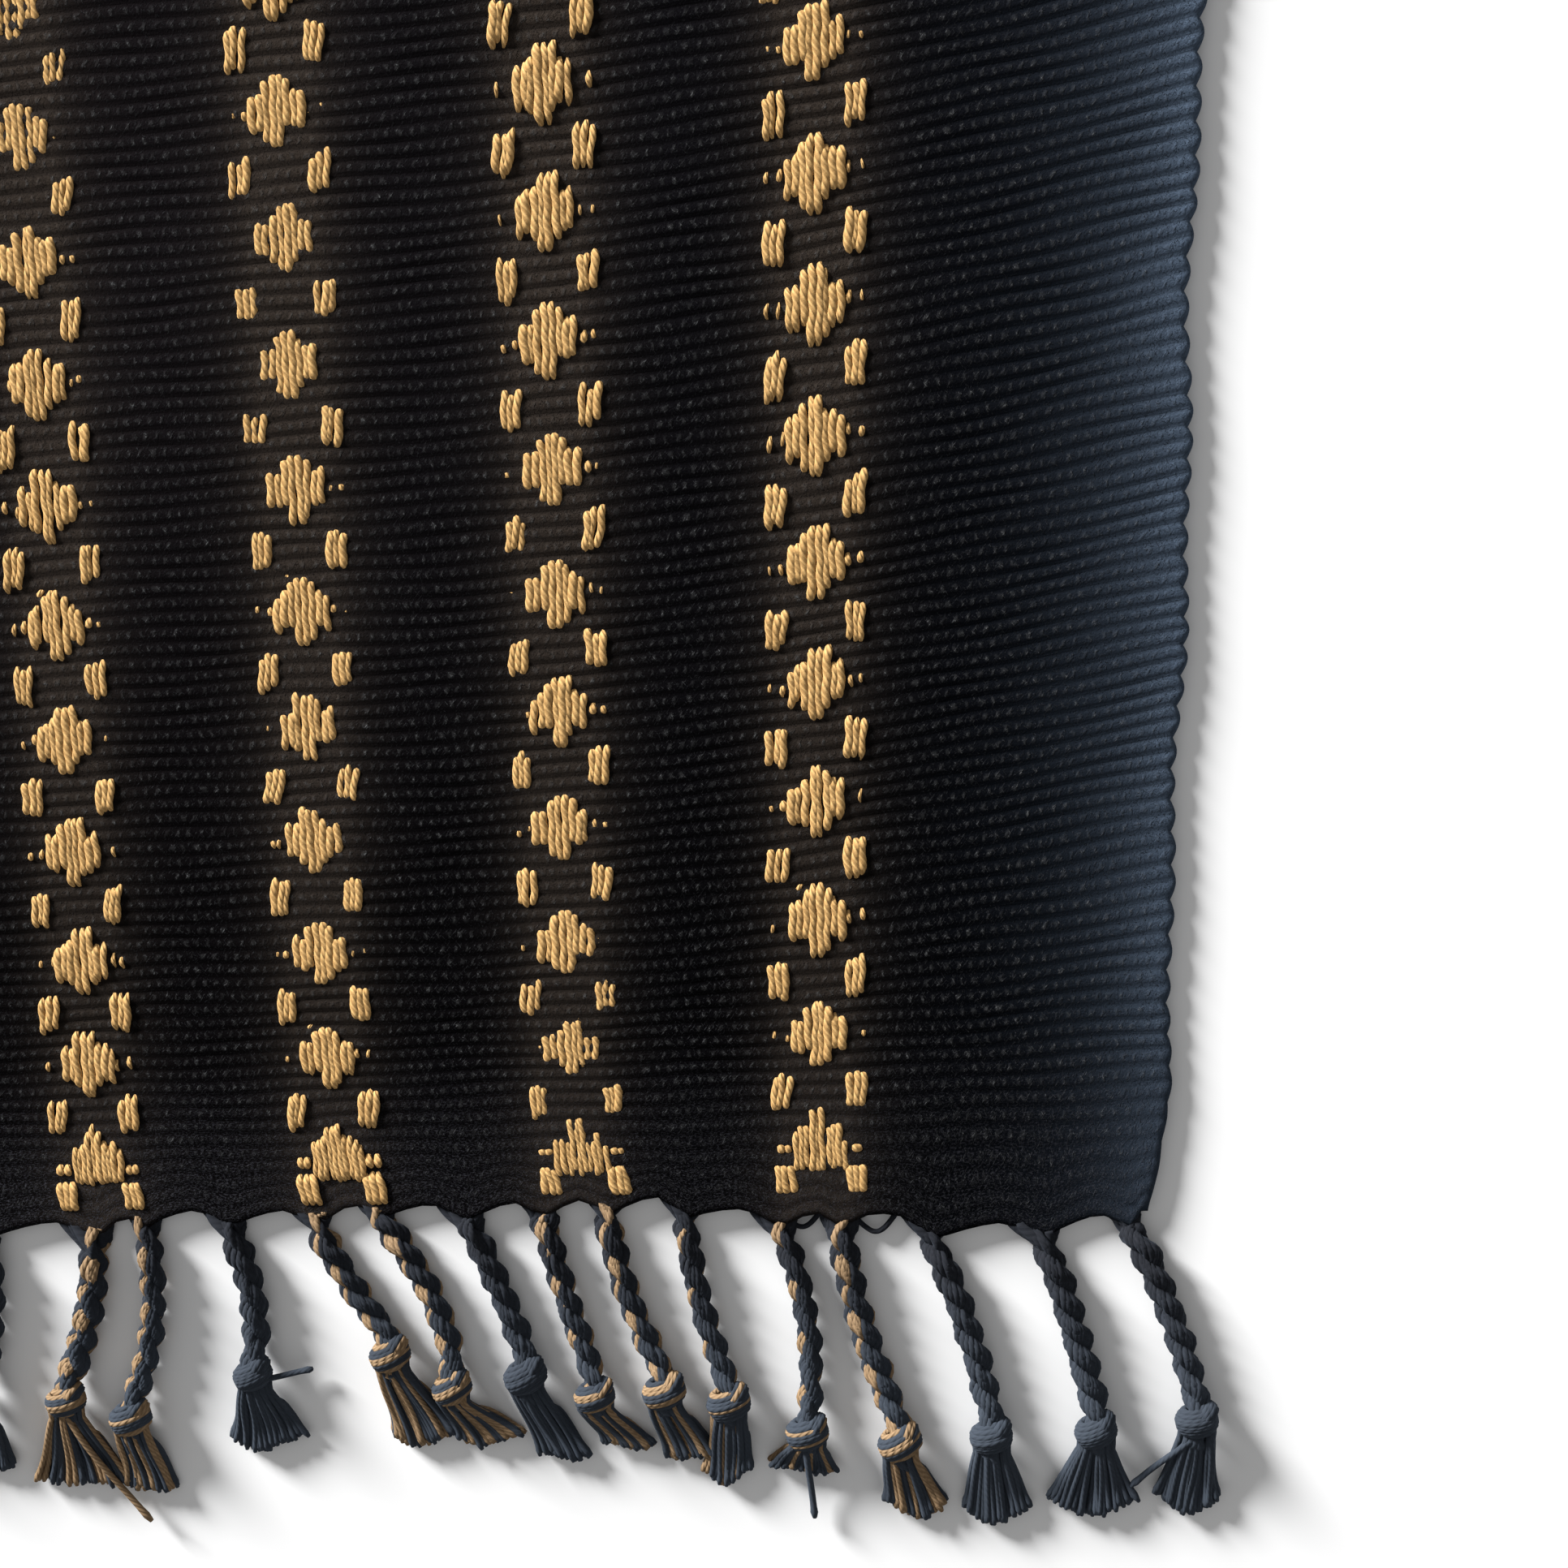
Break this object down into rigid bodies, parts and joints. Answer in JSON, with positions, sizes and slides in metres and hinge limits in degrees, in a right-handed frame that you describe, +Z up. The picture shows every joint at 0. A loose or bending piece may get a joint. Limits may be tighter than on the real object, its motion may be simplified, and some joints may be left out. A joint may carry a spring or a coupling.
{
  "type": "table runner",
  "caption": "Handwoven black table runner with tan diamond bands and a knotted twisted fringe at each end.",
  "frame": {"origin": "centre of the runner's footprint, on the table it lies on", "axes": "+X across the width, +Y along the length, +Z up from the table through the patterned face"},
  "size_m": [0.3706, 1.4038, 0.0068],
  "materials": {
    "black_cloth": "matte ribbed cotton",
    "tan_pattern_yarn": "matte plied cotton",
    "black_fringe_yarn": "matte twisted cotton",
    "mixed_fringe_yarn": "matte twisted cotton, black with tan"
  },
  "bodies": {
    "root": {"ground_cloth": "black_cloth", "pattern_band_1": "tan_pattern_yarn", "pattern_band_2": "tan_pattern_yarn", "pattern_band_3": "tan_pattern_yarn", "pattern_band_4": "tan_pattern_yarn", "pattern_band_5": "tan_pattern_yarn", "pattern_band_6": "tan_pattern_yarn", "pattern_band_7": "tan_pattern_yarn", "fringe_cord_near_01": "black_fringe_yarn", "fringe_cord_near_02": "black_fringe_yarn", "fringe_cord_near_03": "black_fringe_yarn", "fringe_cord_near_04": "mixed_fringe_yarn", "fringe_cord_near_05": "mixed_fringe_yarn", "fringe_cord_near_06": "black_fringe_yarn", "fringe_cord_near_07": "mixed_fringe_yarn", "fringe_cord_near_08": "mixed_fringe_yarn", "fringe_cord_near_09": "black_fringe_yarn", "fringe_cord_near_10": "mixed_fringe_yarn", "fringe_cord_near_11": "mixed_fringe_yarn", "fringe_cord_near_12": "black_fringe_yarn", "fringe_cord_near_13": "mixed_fringe_yarn", "fringe_cord_near_14": "mixed_fringe_yarn", "fringe_cord_near_15": "black_fringe_yarn", "fringe_cord_near_16": "mixed_fringe_yarn", "fringe_cord_near_17": "mixed_fringe_yarn", "fringe_cord_near_18": "black_fringe_yarn", "fringe_cord_near_19": "mixed_fringe_yarn", "fringe_cord_near_20": "mixed_fringe_yarn", "fringe_cord_near_21": "black_fringe_yarn", "fringe_cord_near_22": "mixed_fringe_yarn", "fringe_cord_near_23": "mixed_fringe_yarn", "fringe_cord_near_24": "black_fringe_yarn", "fringe_cord_near_25": "black_fringe_yarn", "fringe_cord_near_26": "black_fringe_yarn", "fringe_cord_far_01": "black_fringe_yarn", "fringe_cord_far_02": "black_fringe_yarn", "fringe_cord_far_03": "black_fringe_yarn", "fringe_cord_far_04": "mixed_fringe_yarn", "fringe_cord_far_05": "mixed_fringe_yarn", "fringe_cord_far_06": "black_fringe_yarn", "fringe_cord_far_07": "mixed_fringe_yarn", "fringe_cord_far_08": "mixed_fringe_yarn", "fringe_cord_far_09": "black_fringe_yarn", "fringe_cord_far_10": "mixed_fringe_yarn", "fringe_cord_far_11": "mixed_fringe_yarn", "fringe_cord_far_12": "black_fringe_yarn", "fringe_cord_far_13": "mixed_fringe_yarn", "fringe_cord_far_14": "mixed_fringe_yarn", "fringe_cord_far_15": "black_fringe_yarn", "fringe_cord_far_16": "mixed_fringe_yarn", "fringe_cord_far_17": "mixed_fringe_yarn", "fringe_cord_far_18": "black_fringe_yarn", "fringe_cord_far_19": "mixed_fringe_yarn", "fringe_cord_far_20": "mixed_fringe_yarn", "fringe_cord_far_21": "black_fringe_yarn", "fringe_cord_far_22": "mixed_fringe_yarn", "fringe_cord_far_23": "mixed_fringe_yarn", "fringe_cord_far_24": "black_fringe_yarn", "fringe_cord_far_25": "black_fringe_yarn", "fringe_cord_far_26": "black_fringe_yarn"}
  },
  "joints": []
}
